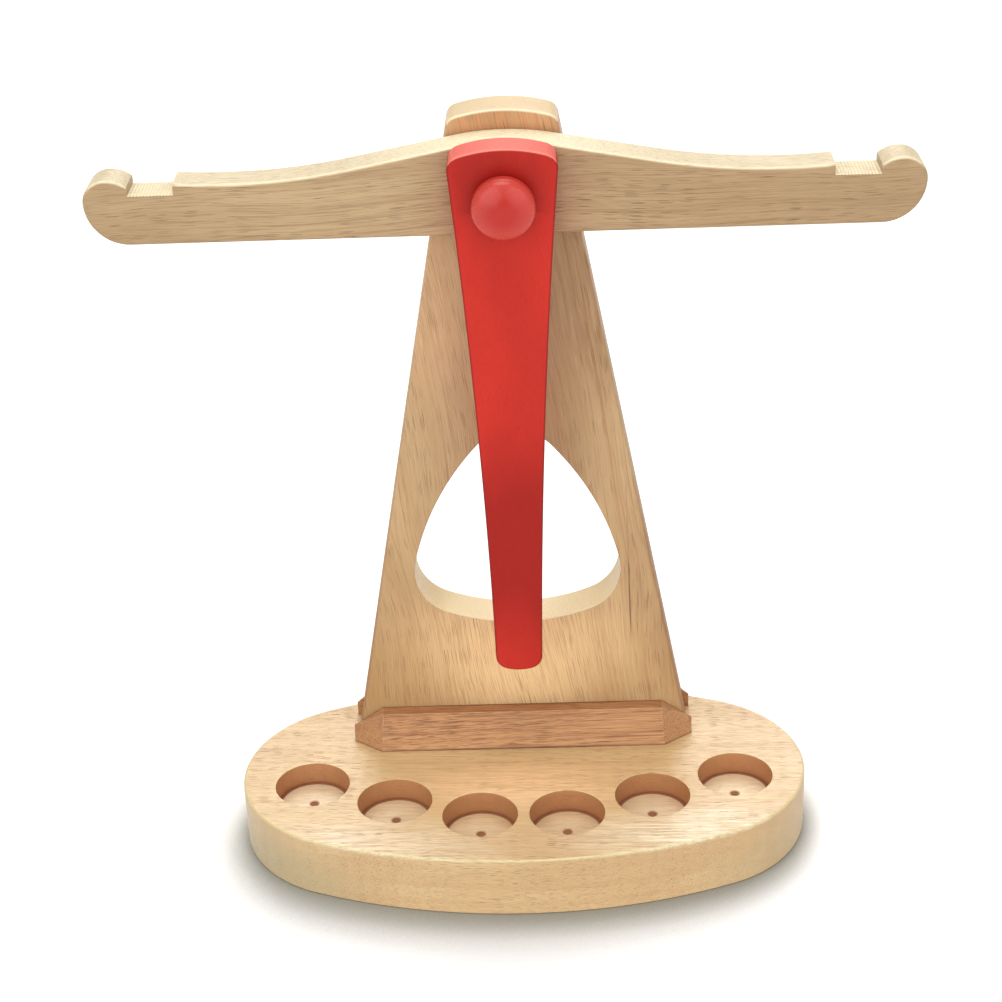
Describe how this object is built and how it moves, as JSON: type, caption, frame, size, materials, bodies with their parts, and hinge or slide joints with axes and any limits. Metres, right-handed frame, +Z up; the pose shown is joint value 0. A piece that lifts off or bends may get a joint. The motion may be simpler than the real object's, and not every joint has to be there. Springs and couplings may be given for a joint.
{
  "type": "balance scale toy",
  "caption": "Wooden toy balance: oval base with weight pits, tapered upright with a rounded triangular opening, notched beam and long red pointer that swing on an axle.",
  "frame": {"origin": "middle of the underside of the base board, at the middle of the whole toy's width and depth", "axes": "+X to the right along the beam, +Y to the back, +Z up; the red pointer faces -Y"},
  "size_m": [0.2668, 0.11, 0.2584],
  "materials": {
    "base_wood": "pale hardwood, clear satin varnish",
    "upright_wood": "pale hardwood, upright grain, clear satin varnish",
    "cleat_wood": "reddish brown hardwood, clear satin varnish",
    "beam_wood": "pale hardwood with short dark pores, clear satin varnish",
    "red_paint": "wood under satin red paint",
    "bare_wood": "bare turned hardwood",
    "screw_steel": "zinc-plated steel"
  },
  "bodies": {
    "stand": {"base_board": "base_wood", "upright": "upright_wood", "front_cleat": "cleat_wood", "rear_cleat": "cleat_wood", "upright_screws": "screw_steel", "axle": "bare_wood", "spacer_washer": "bare_wood", "front_cap": "red_paint", "rear_cap": "red_paint"},
    "balance": {"beam": "beam_wood", "pointer": "red_paint", "pointer_dowels": "bare_wood"}
  },
  "joints": [
    {"name": "beam_pivot", "type": "hinge", "parent": "stand", "child": "balance", "pos_m": [0, 0.0139, 0.2365], "axis": [0, 1, 0], "continuous": true}
  ]
}
